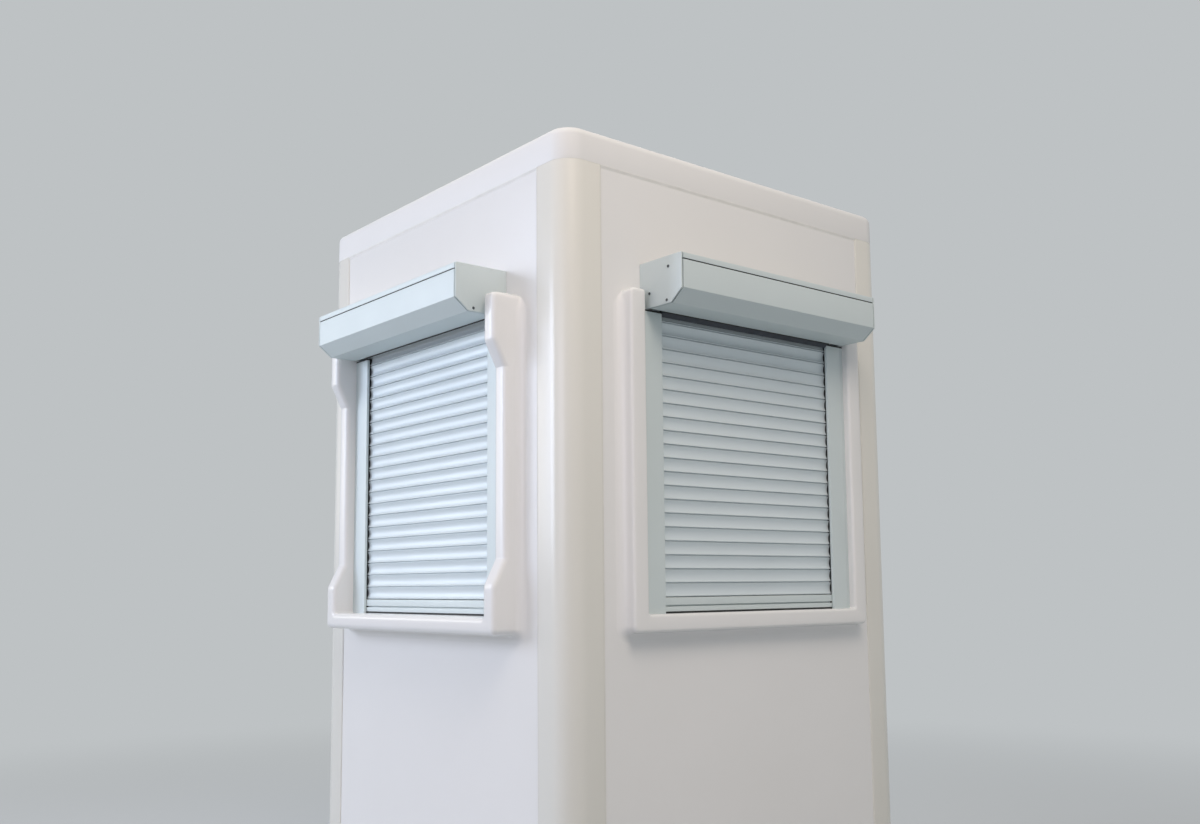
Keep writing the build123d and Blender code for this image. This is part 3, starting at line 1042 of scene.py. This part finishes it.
# Lever handle
# A stainless steel lever on a tall back plate, with a lock cylinder below it, screwed through the
# leaf.
plate_width, plate_height, plate_thick = 42 * mm, 210 * mm, 8 * mm
plate_corner, plate_edge = 12 * mm, 2.5 * mm
lever_width, lever_thick, lever_length = 20 * mm, 12 * mm, 130 * mm
lever_corner, lever_edge = 9.5 * mm, 4.5 * mm
neck_overlap = 4 * mm
plate_overlap = 1 * mm
collar_radius, collar_height, collar_edge = 14 * mm, 6 * mm, 2 * mm
lock_radius, lock_height, lock_edge = 9 * mm, 4 * mm, 1 * mm
lock_drop = 62 * mm
round_sides = 28
low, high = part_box("door_handle")
plate_middle = Vector((high.x - plate_width / 2, 0, (low.z + high.z) / 2))


def on_leaf(a, b, run):
    """A point on the leaf's face: along from the handle to the hinges, up, and out."""
    return Vector((plate_middle.x - a, plate_face + run, plate_middle.z + b))


half_w, half_h, half_lever = plate_width / 2, plate_height / 2, lever_width / 2
plate_corners = oblong(-half_w, -half_h, half_w, half_h, plate_corner)
lever_corners = oblong(-half_lever, -half_lever, lever_length - half_lever, half_lever, lever_corner)
reach = high.y - plate_face
lever_foot = reach - lever_thick
start = plate_thick - plate_overlap
collar_head, lock_head = plate_thick + collar_height, plate_thick + lock_height
shapes = [
    slab(plate_corners, on_leaf, 0, plate_thick, plate_edge),
    round_bar((0, 0), half_lever, start, lever_foot + neck_overlap, 0, at=on_leaf),
    round_bar((0, 0), collar_radius, start, collar_head, collar_edge, round_sides, on_leaf),
    slab(lever_corners, on_leaf, lever_foot, reach, lever_edge, steps=5),
    round_bar((0, -lock_drop), lock_radius, start, lock_head, lock_edge, round_sides, on_leaf),
]
handle = piece("lever_handle", shapes, stainless)
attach(handle, "root")
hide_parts("door_handle")

# Screws
# Small dome-headed screws with a star recess, of dark zinc-plated steel. Three hold the left cap of
# each shutter box and one the right cap, and others the hinges and the handle's plate.
head_radius = 4 * mm
star_sides = 12
star_share = 0.72
upper_screw = (113 * mm, box_head - 29 * mm)
inner_screw = (39 * mm, box_foot + 39 * mm)
lower_screw = (106 * mm, box_foot + 9 * mm)
cap_screws = {-1: [upper_screw, inner_screw, lower_screw], 1: [lower_screw]}
hinge_screw_side = 10 * mm
hinge_screw_shares = (0.15, 0.5, 0.85)
plate_screw_end = 14 * mm
# Rings of the head, out and up as shares of its radius: first the dome's, then the star's.
dome_rings = [(1, 0), (1, 0.15), (0.86, 0.36), (0.62, 0.48)]
star_rings = [(0.5, 0.5), (0.44, 0.2)]

# Black zinc plate: dark grey metal, uneven and fairly dull.
plated = {"size": 3 * mm, "detail": 3.0, "roughness": 0.45, "metallic": 1.0}
zinc = new_finish("black_zinc_plate", "#54585B", "#7A7E80", **plated)

rings = []
for out, up in dome_rings + star_rings:
    ring = []
    for i in range(star_sides):
        angle = 2 * pi * i / star_sides
        far = out * (star_share if (out, up) in star_rings and i % 2 else 1) * head_radius
        ring.append(Vector((far * cos(angle), far * sin(angle), up * head_radius)))
    rings.append(ring)
screw_head = piece("screw_head", [loft(rings)], zinc, sharp=50)

screw_tree, given = new_tree("screws_at_places", Head="Object", Finish="Material")
spots = add_node(screw_tree, "GeometryNodeMeshToPoints", {0: given["Geometry"]})
head = add_node(screw_tree, "GeometryNodeObjectInfo", {"Object": given["Head"]}).outputs["Geometry"]
stored = {"Name": "facing"}
way = add_node(screw_tree, "GeometryNodeInputNamedAttribute", stored, data_type="FLOAT_VECTOR")
aim = add_node(screw_tree, "FunctionNodeAlignRotationToVector", {"Vector": way}, axis="Z")
driven = {"Points": spots, "Instance": head, "Rotation": aim}
end_tree(screw_tree, given, "GeometryNodeInstanceOnPoints", driven)


def screws(name, places):
    """One object of screw heads, each place given as a point and the way the head faces."""
    mesh = bpy.data.meshes.new(name)
    mesh.from_pydata([point for point, _ in places], [], [])
    facing = mesh.attributes.new("facing", "FLOAT_VECTOR", "POINT")
    for i, (_, way) in enumerate(places):
        facing.data[i].vector = way
    made = grow(link_object(name, mesh), screw_tree, sharp=50, Head=screw_head, Finish=zinc)
    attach(made, "root")


cap_places = []
for side, at in windows.items():
    for hand, places in cap_screws.items():
        cap_places += [(at(*place, hand * box_half), walls[side][0] * hand) for place in places]
screws("box_cap_screws", cap_places)
door_places = []
for node in ("hinge_lower", "hinge_upper"):
    low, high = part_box(node)
    for x in (low.x + hinge_screw_side, high.x - hinge_screw_side):
        for share in hinge_screw_shares:
            door_places.append(Vector((x, plate_end, low.z + (high.z - low.z) * share)))
for b in (-half_h + plate_screw_end, half_h - plate_screw_end):
    door_places.append(on_leaf(0, b, plate_thick))
screws("door_screws", [(place, walls["back"][1]) for place in door_places])
bpy.data.objects.remove(screw_head)

# Studio
# A wide pale floor that runs out into a pale backdrop, and five soft lamps. A large cool one lights
# the left wall, two weaker ones lift its edges, and the others light the front and the back.
backdrop = "#BEC2C4"
floor_reach = 40.0
fade_start, fade_end = 1.6, 6.5
sky_low, sky_high = 0.3, 0.7
lamp_spread = radians(110)
scene = bpy.context.scene
scene.view_settings.view_transform = "Standard"


def seen_rays(tree):
    """1 on rays that show the backdrop to the eye, also in metal and glass, and 0 on the others."""
    ray = add_node(tree, "ShaderNodeLightPath").outputs
    seen = ray["Is Camera Ray"]
    for kind in ("Is Glossy Ray", "Is Transmission Ray"):
        seen = add_node(tree, "ShaderNodeMath", {0: seen, 1: ray[kind]}, operation="MAXIMUM")
    return seen


world = bpy.data.worlds.new("studio")
scene.world = world
world.use_nodes = True
tree = world.node_tree
tree.nodes.clear()
way = add_node(tree, "ShaderNodeTexCoord").outputs["Generated"]
rise = add_node(tree, "ShaderNodeSeparateXYZ", {0: way}).outputs["Z"]
level = add_node(tree, "ShaderNodeMapRange", {0: rise, 1: 0.0, 2: 1.0, 3: sky_low, 4: sky_high})
ambient = add_node(tree, "ShaderNodeBackground", {"Color": linear("#FFFFFF"), "Strength": level})
shown = add_node(tree, "ShaderNodeBackground", {"Color": linear(backdrop), "Strength": 1.0})
sky = add_node(tree, "ShaderNodeMixShader", {0: seen_rays(tree), 1: ambient, 2: shown})
add_node(tree, "ShaderNodeOutputWorld", {0: sky})

# Painted studio floor: matt, the backdrop's colour, and lost in the backdrop with distance.
ground_finish = bpy.data.materials.new("studio_floor")
ground_finish.use_nodes = True
tree = ground_finish.node_tree
shader = tree.nodes["Principled BSDF"]
shader.inputs["Base Color"].default_value = linear(backdrop)
shader.inputs["Roughness"].default_value = 0.9
place = add_node(tree, "ShaderNodeTexCoord").outputs["Object"]
far = add_node(tree, "ShaderNodeVectorMath", {0: place}, operation="LENGTH").outputs["Value"]
span = {0: far, 1: fade_start, 2: fade_end}
fade = add_node(tree, "ShaderNodeMapRange", span, interpolation_type="SMOOTHSTEP")
share = add_node(tree, "ShaderNodeMath", {0: fade, 1: seen_rays(tree)}, operation="MULTIPLY")
glow = add_node(tree, "ShaderNodeEmission", {"Color": linear(backdrop), "Strength": 1.0})
mixed = add_node(tree, "ShaderNodeMixShader", {0: share, 1: shader, 2: glow})
tree.links.new(mixed.outputs[0], tree.nodes["Material Output"].inputs["Surface"])
floor_corners = oblong(-floor_reach, -floor_reach, floor_reach, floor_reach)
ground = piece("studio_floor", [(floor_corners, [(0, 1, 2, 3)])], ground_finish)


def lamp(name, place, aim, colour, size, power):
    """A square soft lamp that points at a place, with a beam that keeps off the floor beside it."""
    light = bpy.data.lights.new(name, "AREA")
    light.size = size
    light.spread = lamp_spread
    light.energy = power
    light.color = linear(colour)[:3]
    made = link_object(name, light)
    made.location = place
    made.rotation_mode = "QUATERNION"
    made.rotation_quaternion = (Vector(aim) - Vector(place)).to_track_quat("-Z", "Y")
    return made


lamp("key_lamp", (-5.8, 3.7, 2.9), (-0.6, 0, 1.3), "#DFE9FF", size=3.0, power=70)
lamp("edge_lamp", (-4.2, 6.0, 2.6), (-0.65, 0, 1.6), "#FFFAF0", size=2.0, power=12)
lamp("left_lamp", (-5.2, -1.6, 2.4), (-0.6, -0.2, 1.3), "#ECE6FF", size=2.5, power=12)
front_lamp = lamp("front_lamp", (-1.7, -3.2, 4.7), (-0.3, -0.6, 1.8), "#FFEFE0", size=2.0, power=34)
lamp("back_lamp", (3.6, 4.4, 4.0), (0, 0, 1.2), "#FFFFFF", size=3.0, power=36)
# The front lamp stays out of reflections, so that it draws no stripe on the round corners.
front_lamp.visible_glossy = False

# Camera
# The photograph's place: outside the front left corner, about a metre up and looking a little up,
# with the picture shifted as the photograph's is.
focal_pixels, picture_width, picture_height = 1152.6, 1200, 824
optical_row = 455
yaw, pitch, roll = radians(50.52), radians(6.47), radians(-0.49)
camera_place = Vector((-2.4066, -2.9169, 1.1033))
camera_data = bpy.data.cameras.new("photo_camera")
camera_data.sensor_width = 36.0
camera_data.lens = focal_pixels / picture_width * camera_data.sensor_width
camera_data.shift_y = (optical_row - picture_height / 2) / picture_width
camera = link_object("photo_camera", camera_data)
turned = Matrix.Rotation(yaw - pi / 2, 4, "Z") @ Matrix.Rotation(pitch + pi / 2, 4, "X")
camera.matrix_world = Matrix.Translation(camera_place) @ turned @ Matrix.Rotation(roll, 4, "Z")
scene.camera = camera
